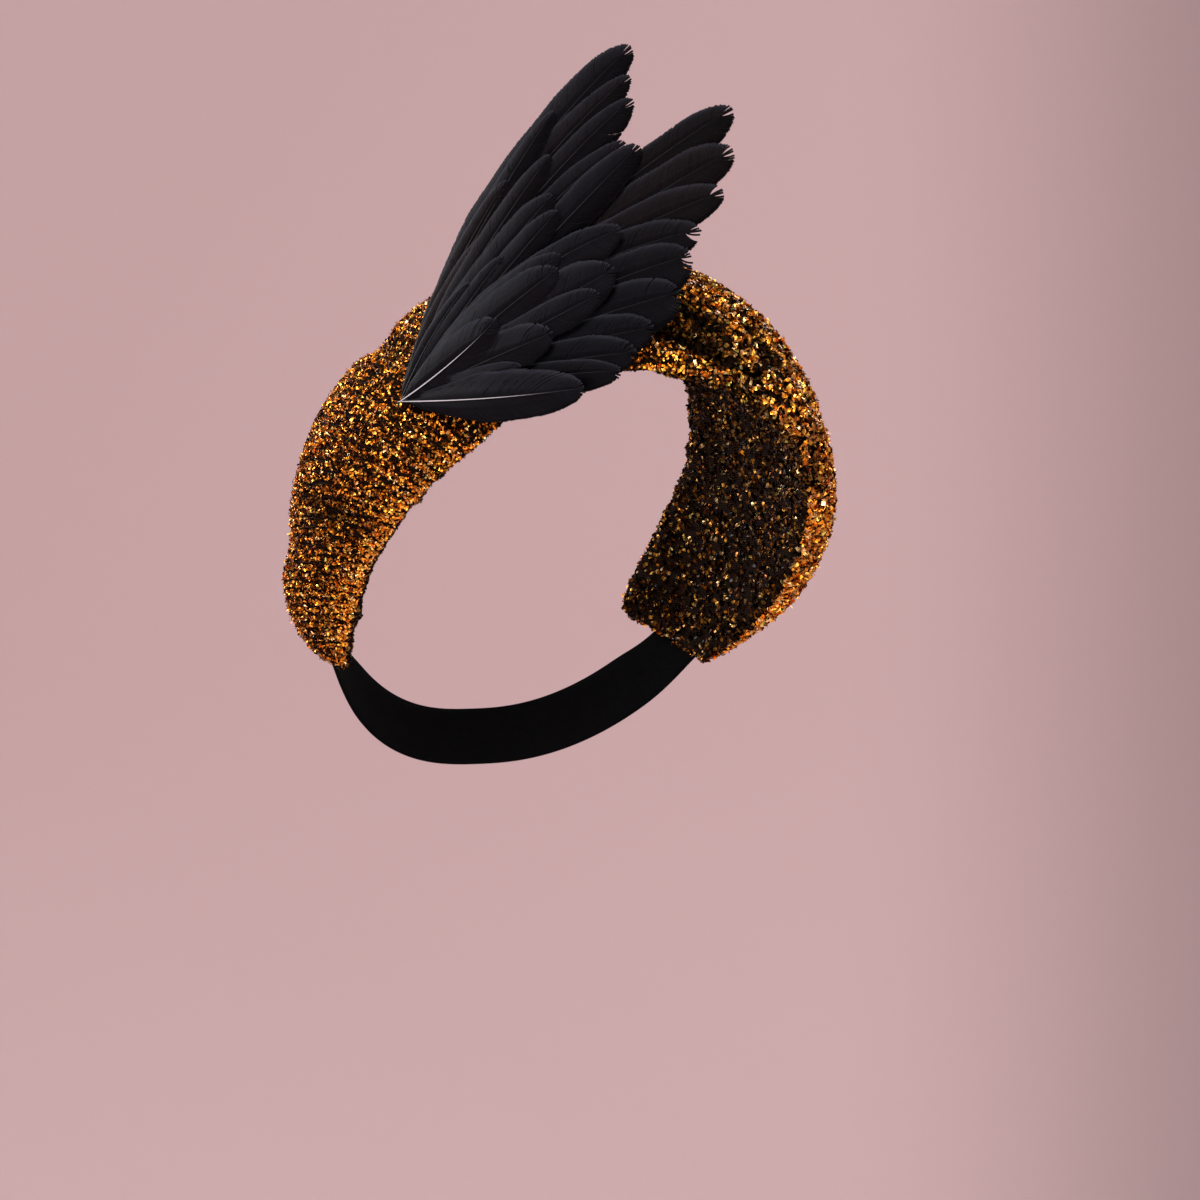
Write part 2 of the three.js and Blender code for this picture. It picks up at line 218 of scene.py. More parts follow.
# The colours of the feathers. rim is a painted highlight along the left vanes' outer edge, paler and bluer,
# and white is what a pale shaft adds.
PLUMAGE = {
    "black": np.array((0.0047, 0.0043, 0.0061)),
    "brown": np.array((0.0078, 0.0048, 0.0051)),
    "rim": np.array((0.05, 0.05, 0.064)),
    "rim_highlight_share": 0.4,
    "rim_highlight_power": 6,
    "shade": (0.85, 1.15),
    "shaft": np.array((0.008, 0.0075, 0.009)),
    "white": np.array((0.26, 0.24, 0.25)),
}

# The feathers, by where each tip lies to the side of the root and above it. left and right are the widths of
# the two vanes, bend is how far the shaft bows to the left, and blunt is where along it the tip starts to
# round. brown is how far its black turns brown. pale, in two of them, is how much of the shaft is white.
LEFT_FLIGHT = [
    {"side": 77.4, "up": 123.4, "left": 6.5, "right": 7.6, "bend": 8.5, "blunt": 0.85, "brown": 0.1},
    {"side": 76.6, "up": 112.6, "left": 5, "right": 7.5, "bend": 7.5, "blunt": 0.78, "brown": 0.3},
    {"side": 77.3, "up": 104.3, "left": 4.6, "right": 8.3, "bend": 5.8, "blunt": 0.8, "brown": 0.1},
    {"side": 75.2, "up": 88.9, "left": 4.6, "right": 8.3, "bend": 5.8, "blunt": 0.8, "brown": 0.1},
    {"side": 79.9, "up": 87.7, "left": 6.3, "right": 6.7, "bend": 0.4, "blunt": 0.8, "brown": 0},
]
RIGHT_FLIGHT = [
    {"side": 111.9, "up": 102.2, "left": 5.6, "right": 8.3, "bend": 5.3, "blunt": 0.88, "brown": 0.4},
    {"side": 112, "up": 87.2, "left": 7.6, "right": 8, "bend": 4.6, "blunt": 0.88, "brown": 0.7},
    {"side": 108.6, "up": 72.4, "left": 7.4, "right": 8, "bend": 6.7, "blunt": 0.84, "brown": 0.5},
    {"side": 100.4, "up": 58.8, "left": 7, "right": 9.6, "bend": 8.3, "blunt": 0.82, "brown": 0.2},
    {"side": 97.3, "up": 49.9, "left": 7.5, "right": 12, "bend": 4.6, "blunt": 0.85, "brown": 0.1},
    {"side": 93.6, "up": 37, "left": 8, "right": 11, "bend": 2.5, "blunt": 0.85, "brown": 0},
    {"side": 84.7, "up": 24.9, "left": 7, "right": 9, "bend": 2.1, "blunt": 0.8, "brown": 0},
    {"side": 78.8, "up": 16.3, "left": 7, "right": 8, "bend": 2.1, "blunt": 0.8, "brown": 0},
    {"side": 73.7, "up": 9.9, "left": 4.6, "right": 6.6, "bend": 1.7, "blunt": 0.75, "brown": 0},
]
LEFT_COVERTS = [
    {"side": 50.9, "up": 99.7, "left": 3.4, "right": 5.4, "bend": 3, "blunt": 0.7, "brown": 0.1},
    {"side": 35, "up": 75.2, "left": 3.3, "right": 4.6, "bend": 2.5, "blunt": 0.7, "brown": 0.5},
    {"side": 29.2, "up": 57.5, "left": 2.9, "right": 3.3, "bend": 2.5, "blunt": 0.7, "brown": 1},
    {"side": 50, "up": 84.2, "left": 4.2, "right": 5, "bend": 2.1, "blunt": 0.7, "brown": 0.2},
    {"side": 50.9, "up": 70.1, "left": 5.4, "right": 5.4, "bend": 2.1, "blunt": 0.8, "brown": 0.1},
    {"side": 52.5, "up": 64.6, "left": 5, "right": 5.4, "bend": 0.4, "blunt": 0.75, "brown": 0},
    {"side": 34.2, "up": 48.8, "left": 3.3, "right": 3.8, "bend": 0.4, "blunt": 0.75, "brown": 0},
    {"side": 22.9, "up": 40, "left": 2.5, "right": 2.5, "bend": 1.7, "blunt": 0.6, "brown": 0},
]
RIGHT_COVERTS = [
    {"side": 73.8, "up": 58.4, "left": 5.4, "right": 8.3, "bend": 6.3, "blunt": 0.8, "brown": 0},
    {"side": 71.3, "up": 44.2, "left": 8.8, "right": 8.8, "bend": 0.8, "blunt": 0.8, "brown": 0},
    {"side": 66.7, "up": 35.9, "left": 5.8, "right": 5.8, "bend": 0, "blunt": 0.8, "brown": 0},
    {"side": 53.4, "up": 49.2, "left": 5, "right": 5, "bend": 2.5, "blunt": 0.75, "brown": 0},
    {"side": 52.5, "up": 44.2, "left": 7.1, "right": 5.8, "bend": 0.8, "blunt": 0.75, "brown": 0},
    {"side": 50.9, "up": 22.5, "left": 7.1, "right": 6.7, "bend": 0.4, "blunt": 0.75, "brown": 0},
    {"side": 40.4, "up": 11.3, "left": 3.3, "right": 4.2, "bend": 0.4, "blunt": 0.7, "brown": 0},
    {"side": 61.6, "up": 4, "left": 8.8, "right": 8, "bend": -1.3, "blunt": 0.6, "brown": 0,
     "pale": 0.85},
    {"side": 32.1, "up": 27.1, "left": 7.1, "right": 6.3, "bend": -1.3, "blunt": 0.6, "brown": 0,
     "pale": 0.9},
]

# The fans that they make up. above is how far each lies over the sheet, contrast is painted light and shade:
# how much lighter its left vanes are painted than its right ones, as if lit from the left, and tone is how
# light it is as a whole.
FANS = [
    {"name": "right_flight", "node": "right_flight_feathers", "rows": RIGHT_FLIGHT,
     "above": 1.1, "contrast": 0.15, "tone": 0.62},
    {"name": "left_flight", "node": "left_flight_feathers", "rows": LEFT_FLIGHT,
     "above": 2.2, "contrast": 0.35, "tone": 0.7},
    {"name": "left_covert", "node": "left_coverts", "rows": LEFT_COVERTS,
     "above": 2.9, "contrast": 0.25, "tone": 0.76},
    {"name": "right_covert", "node": "right_coverts", "rows": RIGHT_COVERTS,
     "above": 3.9, "contrast": 0.05, "tone": 0.95},
]

# The elastic and the two ends of the band that it is sewn to. Its route, width and thickness are those of
# the solids, and the ribs and the rounded edges are added here. angle, gap and end_slant are in degrees, and
# settle and look are shares of its length. rib_outside and rib_inside are how much of a rib's height shows on
# either face, and a higher edge_power makes squarer edges.
BAND_ENDS = [
    {"angle": -99, "front": 45, "back": 78},
    {"angle": 97, "front": 36, "back": 74},
]
STRAP = {
    "width": 21.0,
    "thickness": 1.8,
    "stations": 220,
    "gap": 1.5,
    "settle": 0.12,
    "dip": 34.0,
    "dip_power": 2.6,
    "off": 0.6,
    "off_end": 5.5,
    "off_power": 5.0,
    "end_slant": 7.0,
    "ribs": 13,
    "rib_steps": 4,
    "rib_height": 0.16,
    "rib_outside": 0.6,
    "rib_inside": 0.3,
    "edge_power": 8,
    "edge_inset": 0.1,
    "look": 0.02,
}


def smoothstep(value, low, high):
    share = np.clip((value - low) / (high - low), 0, 1)
    return share * share * (3 - 2 * share)


def unit(vectors):
    return vectors / np.maximum(np.linalg.norm(vectors, axis=-1, keepdims=True), 1e-12)


def add_mesh(name, points, faces, material, smooth=True):
    """A new object from points in millimetres and an array of faces that all have as many corners."""
    mesh = bpy.data.meshes.new(name)
    mesh.vertices.add(len(points))
    mesh.vertices.foreach_set("co", (np.asarray(points, dtype=np.float32) * MM).ravel())
    corners = faces.shape[1]
    mesh.loops.add(faces.size)
    mesh.loops.foreach_set("vertex_index", faces.ravel().astype(np.int32))
    mesh.polygons.add(len(faces))
    mesh.polygons.foreach_set("loop_start", np.arange(0, faces.size, corners, dtype=np.int32))
    mesh.polygons.foreach_set("use_smooth", np.full(len(faces), smooth))
    mesh.update(calc_edges=True)
    piece = bpy.data.objects.new(name, mesh)
    bpy.context.scene.collection.objects.link(piece)
    mesh.materials.append(material)
    return piece


def paint(piece, name, colours):
    """A colour for each point of a piece, for its material to read."""
    layer = piece.data.color_attributes.new(name, "FLOAT_COLOR", "POINT")
    full = np.ones((len(piece.data.vertices), 4), dtype=np.float32)
    full[:, :3] = colours
    layer.data.foreach_set("color", full.ravel())


class Nodes:
    """A material with a Principled shader, and short ways to add nodes to it."""

    def __init__(self, name):
        self.material = bpy.data.materials.new(name)
        self.material.use_nodes = True
        self.tree = self.material.node_tree
        self.shader = self.tree.nodes["Principled BSDF"]

    def add(self, kind, **values):
        node = self.tree.nodes.new(kind)
        for key, value in values.items():
            if hasattr(node, key):
                setattr(node, key, value)
            else:
                node.inputs[key].default_value = value
        return node

    def link(self, source, target):
        self.tree.links.new(source, target)

    def set(self, **values):
        for key, value in values.items():
            self.shader.inputs[key.replace("_", " ")].default_value = value


def foil_material():
    nodes = Nodes("foil")
    nodes.set(Metallic=1.0)
    tint = nodes.add("ShaderNodeAttribute", attribute_name="tint")
    grain = nodes.add("ShaderNodeTexNoise", Scale=2600.0, Detail=2.0)
    spread = nodes.add("ShaderNodeMapRange")
    spread.inputs["To Min"].default_value = 0.2
    spread.inputs["To Max"].default_value = 0.42
    nodes.link(grain.outputs["Fac"], spread.inputs["Value"])
    nodes.link(spread.outputs["Result"], nodes.shader.inputs["Roughness"])
    nodes.link(tint.outputs["Color"], nodes.shader.inputs["Base Color"])
    return nodes.material


def ground_material():
    nodes = Nodes("knit_ground")
    nodes.set(Roughness=0.9, Specular_IOR_Level=0.05)
    place = nodes.add("ShaderNodeAttribute", attribute_name="knit")
    courses = nodes.add("ShaderNodeTexWave", Scale=1.0, Distortion=1.2, Detail=2.0)
    courses.bands_direction = "X"
    nodes.link(place.outputs["Vector"], courses.inputs["Vector"])
    ramp = nodes.add("ShaderNodeValToRGB")
    ramp.color_ramp.elements[0].color = (0.002, 0.0008, 0.0004, 1)
    ramp.color_ramp.elements[1].color = (0.012, 0.004, 0.001, 1)
    nodes.link(courses.outputs["Fac"], ramp.inputs["Fac"])
    nodes.link(ramp.outputs["Color"], nodes.shader.inputs["Base Color"])
    bump = nodes.add("ShaderNodeBump", Strength=0.8, Distance=0.0008)
    nodes.link(courses.outputs["Fac"], bump.inputs["Height"])
    nodes.link(bump.outputs["Normal"], nodes.shader.inputs["Normal"])
    return nodes.material


def feather_material():
    nodes = Nodes("feather")
    nodes.set(Specular_IOR_Level=0.045)
    tone = nodes.add("ShaderNodeAttribute", attribute_name="tone")
    nodes.link(tone.outputs["Color"], nodes.shader.inputs["Base Color"])
    mottle = nodes.add("ShaderNodeTexNoise", Scale=420.0, Detail=3.0)
    spread = nodes.add("ShaderNodeMapRange")
    spread.inputs["To Min"].default_value = 0.48
    spread.inputs["To Max"].default_value = 0.64
    nodes.link(mottle.outputs["Fac"], spread.inputs["Value"])
    nodes.link(spread.outputs["Result"], nodes.shader.inputs["Roughness"])
    return nodes.material


def quill_material():
    nodes = Nodes("quill")
    nodes.set(Roughness=0.45, Specular_IOR_Level=0.2)
    tone = nodes.add("ShaderNodeAttribute", attribute_name="tone")
    nodes.link(tone.outputs["Color"], nodes.shader.inputs["Base Color"])
    grain = nodes.add("ShaderNodeTexNoise", Scale=900.0, Detail=2.0)
    bump = nodes.add("ShaderNodeBump", Strength=0.25, Distance=0.0001)
    nodes.link(grain.outputs["Fac"], bump.inputs["Height"])
    nodes.link(bump.outputs["Normal"], nodes.shader.inputs["Normal"])
    return nodes.material


def elastic_material():
    nodes = Nodes("elastic")
    nodes.set(Roughness=0.9, Specular_IOR_Level=0.02)
    weave = nodes.add("ShaderNodeTexWave", Scale=900.0, Distortion=0.6, Detail=1.0)
    weave.bands_direction = "Z"
    ramp = nodes.add("ShaderNodeValToRGB")
    ramp.color_ramp.elements[0].color = (0.001, 0.001, 0.0012, 1)
    ramp.color_ramp.elements[1].color = (0.004, 0.004, 0.0045, 1)
    nodes.link(weave.outputs["Fac"], ramp.inputs["Fac"])
    nodes.link(ramp.outputs["Color"], nodes.shader.inputs["Base Color"])
    bump = nodes.add("ShaderNodeBump", Strength=0.5, Distance=0.0002)
    nodes.link(weave.outputs["Fac"], bump.inputs["Height"])
    nodes.link(bump.outputs["Normal"], nodes.shader.inputs["Normal"])
    return nodes.material


def way_out(points):
    """The way out of the head at points given in the part's frame."""
    middle = points + np.array((0, 0, HEAD_HALF[2]))
    away = np.sign(middle) * np.abs(middle / HEAD_HALF) ** (HEAD_POWER - 1) / HEAD_HALF
    return unit(away)


def head_height(points):
    """About how far points stand off the head, in millimetres."""
    middle = points + np.array((0, 0, HEAD_HALF[2]))
    level = (np.abs(middle / HEAD_HALF) ** HEAD_POWER).sum(axis=1) ** (1 / HEAD_POWER)
    return np.linalg.norm(middle, axis=1) * (1 - 1 / np.maximum(level, 1e-6))


def mesh_points(mesh):
    points = np.empty(len(mesh.vertices) * 3, dtype=np.float32)
    mesh.vertices.foreach_get("co", points)
    return points.reshape(-1, 3) / MM


def apply_modifiers(piece):
    """Gives a piece the mesh that its modifiers make, and takes the modifiers off."""
    depsgraph = bpy.context.evaluated_depsgraph_get()
    made = bpy.data.meshes.new_from_object(piece.evaluated_get(depsgraph))
    piece.modifiers.clear()
    piece.data = made


def blow_up(piece, before):
    """Fills the padding like a cushion, and lets no point move further than the cap."""
    scene = bpy.context.scene
    cloth = piece.modifiers.new("fill", "CLOTH")
    settings = cloth.settings
    settings.use_pressure = True
    settings.uniform_pressure_force = COVER["pressure"]
    settings.tension_stiffness = 12
    settings.compression_stiffness = 12
    settings.bending_stiffness = 0.4
    settings.effector_weights.gravity = 0
    settings.vertex_group_mass = "inside"
    cloth.point_cache.frame_start = 1
    cloth.point_cache.frame_end = COVER["frames"]
    for step in range(1, COVER["frames"] + 1):
        scene.frame_set(step)
    apply_modifiers(piece)
    scene.frame_set(1)
    after = mesh_points(piece.data)
    moved = after - before
    far = np.linalg.norm(moved, axis=1, keepdims=True)
    capped = before + moved * np.minimum(1, COVER["cap"] / np.maximum(far, 1e-6))
    piece.data.vertices.foreach_set("co", (capped * MM).astype(np.float32).ravel())
    piece.data.update()


def hollows(points):
    """How deep the creases press the knit in at points, and how much painted shadow they give it, from 0 to
    1.
    """
    depth = np.zeros(len(points))
    shade = np.zeros(len(points))
    for crease in CREASES:
        start = np.array(crease["start"], dtype=float)
        run = np.array(crease["end"]) - start
        along = np.clip((points - start) @ run / (run @ run), 0, 1)
        distance = np.linalg.norm(points - start - along[:, None] * run, axis=1)
        near = np.exp(-(distance / crease["width"]) ** 2)
        depth = np.maximum(depth, crease["depth"] * near)
        shade = np.maximum(shade, crease["shade"] * near)
    return depth, shade


def pinch(piece):
    """Presses in the creases, never through the band's inside, and gives their painted shadow on the knit."""
    points = mesh_points(piece.data)
    depth, shade = hollows(points)
    room = np.maximum(head_height(points) - COVER["least_wall"], 0)
    inward = np.minimum(depth + COVER["inset"], room * COVER["most_of_wall"])
    moved = points - way_out(points) * inward[:, None]
    piece.data.vertices.foreach_set("co", (moved * MM).astype(np.float32).ravel())
    piece.data.update()
    return shade


def make_cover():
    """The knit cover, from the solid that it fills, and the painted shadow that a crease gives each of its
    points.
    """
    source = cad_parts["padded_band"].data.copy()
    piece = bpy.data.objects.new("knit_cover", source)
    bpy.context.scene.collection.objects.link(piece)
    remesh = piece.modifiers.new("remesh", "REMESH")
    remesh.mode = "VOXEL"
    remesh.voxel_size = COVER["voxel"] * MM
    remesh.use_smooth_shade = True
    apply_modifiers(piece)
    before = mesh_points(piece.data)
    inside = piece.vertex_groups.new(name="inside")
    near = np.nonzero(head_height(before) < COVER["inside_level"])[0]
    inside.add([int(i) for i in near], 1.0, "REPLACE")
    blow_up(piece, before)
    finer = piece.modifiers.new("finer", "SUBSURF")
    finer.levels = 1
    finer.render_levels = 1
    apply_modifiers(piece)
    painted_crease_shade = pinch(piece)
    piece.data.materials.clear()
    piece.data.materials.append(ground_material())
    lay_courses(piece)
    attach(piece, "root")
    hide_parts("padded_band")
    return piece, painted_crease_shade


def knit_place(points):
    """How far along the band and across it points lie, counted in courses and wales of the knit."""
    round_the_head = np.arctan2(points[:, 0], points[:, 2] + HEAD_HALF[2])
    radius = np.hypot(points[:, 0], points[:, 2] + HEAD_HALF[2])
    return round_the_head * radius.mean() / COVER["course"], points[:, 1] / COVER["wale"]


def lay_courses(piece):
    along, across = knit_place(mesh_points(piece.data))
    layer = piece.data.attributes.new("knit", "FLOAT_VECTOR", "POINT")
    layer.data.foreach_set("vector", np.column_stack((along, across, across * 0)).astype(np.float32).ravel())


class Surface:
    """The triangles of a mesh, to pick places on."""

    def __init__(self, mesh):
        mesh.calc_loop_triangles()
        corners = np.empty(len(mesh.loop_triangles) * 3, dtype=np.int32)
        mesh.loop_triangles.foreach_get("vertices", corners)
        self.corners = corners.reshape(-1, 3)
        self.points = mesh_points(mesh)
        normals = np.empty(len(mesh.vertices) * 3, dtype=np.float32)
        mesh.vertices.foreach_get("normal", normals)
        self.normals = normals.reshape(-1, 3)
        a, b, c = (self.points[self.corners[:, i]] for i in range(3))
        self.areas = np.linalg.norm(np.cross(b - a, c - a), axis=1) / 2
        self.centres = (a + b + c) / 3
        self.facing = unit(self.normals[self.corners].mean(axis=1))

    def pick(self, count, weights, random):
        chance = self.areas * weights
        chosen = random.choice(len(self.areas), count, p=chance / chance.sum())
        shares = random.dirichlet((1, 1, 1), count)
        corners = self.corners[chosen]
        places = (self.points[corners] * shares[:, :, None]).sum(axis=1)
        return places, unit((self.normals[corners] * shares[:, :, None]).sum(axis=1)), chosen


def ribbons(name, centres, normals, lengths, widths, row, random, material):
    """Foil ribbons that bend and twist, each lying near the cover with a heading of its own."""
    count = len(centres)
    stations = RIBBON["stations"]
    turn = random.uniform(0, 2 * math.pi, count)[:, None]
    aside = unit(np.cross(normals, RIBBON["askew"]))
    flat = aside * np.cos(turn) + np.cross(normals, aside) * np.sin(turn)
    lean = np.radians(random.normal(0, row["lean"], count))[:, None]
    heading = flat * np.cos(lean) + normals * np.sin(lean)
    level = unit(np.cross(normals, heading))
    up = np.cross(heading, level)
    roll = np.radians(random.normal(0, row["roll"], count))
    curl = random.uniform(RIBBON["least_curl"], 1, count) * row["curl"]
    curl = curl * random.choice((-1, 1), count, p=(RIBBON["curls_up"], 1 - RIBBON["curls_up"]))
    twist = random.normal(0, RIBBON["twist"], count)
    points = np.empty((count, stations, 2, 3))
    place = np.zeros((count, 3))
    step = lengths / (stations - 1)
    for k in range(stations):
        share = k / (stations - 1)
        angle = roll + twist * (share - 0.5)
        wide = level * np.cos(angle)[:, None] + up * np.sin(angle)[:, None]
        half = wide * (widths / 2)[:, None]
        points[:, k, 0] = place - half
        points[:, k, 1] = place + half
        bend = -curl * (share + 0.5 / (stations - 1) - 0.5)
        onward = heading * np.cos(bend)[:, None] + up * np.sin(bend)[:, None]
        place = place + onward * step[:, None]
    points += (centres - points.mean(axis=(1, 2)))[:, None, None, :]
    corner = np.arange(count)[:, None] * stations * 2 + np.arange(stations - 1)[None, :] * 2
    faces = np.stack((corner, corner + 1, corner + 3, corner + 2), axis=-1).reshape(-1, 4)
    return add_mesh(name, points.reshape(-1, 3), faces, material, smooth=False)


def foil_colours(power, leftward, random):
    """A colour for each ribbon, partly its own tone and partly painted glitter, redder the dimmer it is."""
    shares = np.array([row["share"] for row in FOIL_COLOURS])
    mixed = shares[:, 0] + (shares[:, 1] - shares[:, 0]) * leftward[:, None]
    steps = np.cumsum(mixed / mixed.sum(axis=1, keepdims=True), axis=1)
    chosen = (random.random(len(power))[:, None] > steps[:, :-1]).sum(axis=1)
    # Partly the foil's own tone, partly painted glitter for how much of the lamps each fleck catches.
    tone_and_glint = random.random(len(power)) ** power
    colours = np.array([row["colour"] for row in FOIL_COLOURS])[chosen] * tone_and_glint[:, None]
    colours[:, 1:] *= (FOIL["reddening"][0] + FOIL["reddening"][1] * tone_and_glint)[:, None]
    return colours


def make_tinsel(cover, painted_crease_shade):
    """The foil that the knit is full of, outside and inside the band."""
    random = np.random.default_rng(SEED)
    surface = Surface(cover.data)
    outward = (surface.facing * way_out(surface.centres)).sum(axis=1)
    outside = smoothstep(outward, *FOIL["outside"])
    faces_front = smoothstep(-surface.facing[:, 1], *FOIL["faces_front"])
    rolled = np.exp(-((outward - FOIL["roll_at"]) / FOIL["roll_reach"]) ** 2) * faces_front
    crease_shadow_paint = painted_crease_shade[surface.corners].mean(axis=1)
    along, _ = knit_place(surface.centres)
    ridge = FOIL["ridge"][0] + FOIL["ridge"][1] * np.cos(along * 2 * math.pi)
    sparse = 1 - FOIL["sparse"] * smoothstep(surface.centres[:, 0], -FOIL["turn"], FOIL["turn"])
    on_outside = outside * ridge * sparse * (1 + FOIL["more_on_roll"] * rolled)
    weights = on_outside + FOIL["inside_share"] * (1 - outside)
    material = foil_material()
    for row in TINSEL_ROWS:
        count = row["count"]
        places, normals, chosen = surface.pick(count, weights, random)
        leftward = smoothstep(places[:, 0], -FOIL["turn"], FOIL["turn"])
        lengths = random.uniform(*row["size"], count) * (FOIL["length"][0] + FOIL["length"][1] * leftward)
        widths = row["width"] * random.uniform(*FOIL["width"], count) * (1 + leftward)
        high = random.uniform(*row["high"], count)
        inside = head_height(places) < COVER["inside_level"] + FOIL["inside_margin"]
        high[inside] = FOIL["inside_high"]
        centres = places + normals * high[:, None]
        piece = ribbons(row["name"], centres, normals, lengths, widths, row, random, material)
        power = row["dim"][0] + (row["dim"][1] - row["dim"][0]) * leftward
        golden = np.maximum(leftward, rolled[chosen])
        # Painted light: the foil on the rolled front edge is painted brighter, as if it caught more of the
        # lamps.
        colours = foil_colours(power * (1 - FOIL["roll_painted_light"] * rolled[chosen]), golden, random)
        # Painted shadow: the foil in a crease is painted darker, on top of the real shade of its pressed-in
        # depth.
        painted_shadow = np.minimum(FOIL["crease_reach"] * crease_shadow_paint[chosen], 1)
        colours *= (1 - FOIL["crease_shade"] * painted_shadow)[:, None]
        colours[inside] *= FOIL["inside_bright"]
        paint(piece, "tint", np.repeat(colours, RIBBON["stations"] * 2, axis=0))
        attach(piece, "root")


def on_wing(flat):
    """Where points of the wings are, from their place beside the root, up from it and above the sheet."""
    side, up, above = flat[..., 0], flat[..., 1], flat[..., 2]
    facing = WING["facing"]
    sideways = np.array((math.cos(facing), -math.sin(facing), 0))
    away = np.array((math.sin(facing), math.cos(facing), 0))
    depth = WING["lean"] * up + up ** 2 / (2 * WING["curl"])
    depth = depth + WING["turn"] * side + side ** 2 / (2 * WING["wrap"])
    rise = np.array((0, 0, 1.0))
    spot = side[..., None] * sideways + (depth - above)[..., None] * away + up[..., None] * rise
    return WING["root"] + spot


class Feather:
    """One feather of a fan: a bowed shaft and two vanes of barbs."""

    def __init__(self, row, above, random):
        self.row = row
        self.above = above
        self.random = random
        tip = np.array((row["side"], row["up"]), dtype=float)
        leftward = np.array((-tip[1], tip[0])) / np.linalg.norm(tip)
        self.tip = tip
        self.bow = tip / 2 + leftward * 2 * row["bend"]
        self.length = np.linalg.norm(tip)

    def shaft(self, t):
        t = np.asarray(t)[..., None]
        return 2 * t * (1 - t) * self.bow + t * t * self.tip

    def heading(self, t):
        t = np.asarray(t)[..., None]
        return unit(2 * (1 - 2 * t) * self.bow + 2 * t * self.tip)

    def outline(self, t, width):
        spread = smoothstep(t, *WING["opening"])
        past = np.clip((t - self.row["blunt"]) / (1 - self.row["blunt"]), 0, 1)
        rounded = np.sqrt(np.maximum(1 - past ** 2, BARB["blunt_end"]))
        return (WING["quill"] + (width - WING["quill"]) * spread) * rounded

    def height(self, offset, width):
        share = np.clip(offset / width, -1, 1)
        crown = 1 - np.abs(share) ** BARB["camber_power"]
        return self.above + BARB["roll"] * share + BARB["camber"] * crown

    def parted(self, t, count):
        """How far the ends of barbs lie along the shaft from their place, where a vane has split."""
        moved = np.zeros_like(t)
        for _ in range(count):
            place = self.random.uniform(*BARB["split_place"])
            depth = self.random.uniform(*BARB["split_depth"]) / self.length
            reach = self.random.uniform(*BARB["split_reach"]) / self.length
            moved += depth * np.sign(t - place) * np.exp(-np.abs(t - place) / reach)
        return moved

    def vane(self, side):
        """The barbs on one side of the shaft, 1 for the left: points by barb, station and corner."""
        width = self.row["left"] if side > 0 else self.row["right"]
        count = int(self.length * (1 - BARB["first"]) / BARB["pitch"])
        random = self.random
        end = 1 - BARB["tip_gap"]
        start = np.linspace(BARB["first"], end, count)
        travel = width / math.tan(BARB["angle"]) / self.length
        lag = travel + (BARB["tip_gap"] - travel) * smoothstep(start, BARB["swept_from"], end)
        finish = start + lag + self.parted(start, random.integers(0, BARB["most_splits"] + 1))
        ragged = random.normal(0, BARB["ragged"], count)
        ragged = ragged + BARB["wavy"] * np.sin(start * random.uniform(*BARB["waves"]))
        reach = self.outline(np.clip(finish, 0, 1), width) * (1 + ragged)
        uneven = random.normal(0, BARB["uneven"], count) / self.length
        finish = finish + uneven * smoothstep(start, BARB["uneven_from"], end)
        base = self.shaft(start)
        heading = self.heading(start)
        leftward = np.stack((-heading[:, 1], heading[:, 0]), axis=1)
        forward = (finish - start) * self.length
        end_point = self.shaft(np.clip(finish, 0, BARB["furthest"]))
        end_heading = self.heading(np.clip(finish, 0, 1))
        end_left = np.stack((-end_heading[:, 1], end_heading[:, 0]), axis=1)
        target = end_point + end_left * (side * reach)[:, None]
        onward, outward = BARB["bow"]
        bulge = base + heading * (onward * forward)[:, None] + leftward * (side * outward * reach)[:, None]
        u = np.linspace(0, 1, BARB["stations"])[None, :, None]
        middle = (1 - u) ** 2 * base[:, None] + 2 * u * (1 - u) * bulge[:, None] + u ** 2 * target[:, None]
        along = unit(2 * (1 - u) * (bulge - base)[:, None] + 2 * u * (target - bulge)[:, None])
        aside = np.stack((along[..., 1], -along[..., 0]), axis=-1) * side
        taper = np.interp(u[0, :, 0], BARB["taper_at"], BARB["taper"])
        fuller = smoothstep(start, *BARB["fuller"])[:, None]
        half = BARB["pitch"] * BARB["spread"] / 2 * (taper + (1 - taper) * fuller)
        offset = side * (2 * outward * u * (1 - u) + u ** 2)[..., 0] * reach[:, None]
        level = self.height(offset, width) + random.normal(0, BARB["rough"], count)[:, None]
        tilt = BARB["tilt"] * random.uniform(*BARB["tilt_range"], count)[:, None] * np.ones_like(level)
        ahead = middle - aside * half[..., None]
        behind = middle + aside * half[..., None]
        return np.stack((
            np.concatenate((ahead, (level + tilt)[..., None]), axis=-1),
            np.concatenate((behind, (level - tilt)[..., None]), axis=-1),
            np.concatenate((middle, (level - BARB["thick"])[..., None]), axis=-1),
        ), axis=2)

    def rachis(self):
        """The shaft, thick at the root and fine at the tip: points by station and corner."""
        t = np.linspace(SHAFT["start"], 1 - BARB["tip_gap"], SHAFT["stations"])
        thick = SHAFT["pale_thick"] if "pale" in self.row else SHAFT["thick"]
        radius = thick * np.interp(t, SHAFT["at"], SHAFT["radius"])
        centre = self.shaft(t)
        heading = self.heading(t)
        leftward = np.stack((-heading[:, 1], heading[:, 0]), axis=1)
        turn = np.arange(SHAFT["sides"]) * 2 * math.pi / SHAFT["sides"]
        flat = centre[:, None] + leftward[:, None] * (radius[:, None] * np.cos(turn))[..., None]
        level = self.above + BARB["camber"] + SHAFT["lift"] + radius[:, None] * np.sin(turn) * SHAFT["flat"]
        return np.concatenate((flat, level[..., None]), axis=-1), t


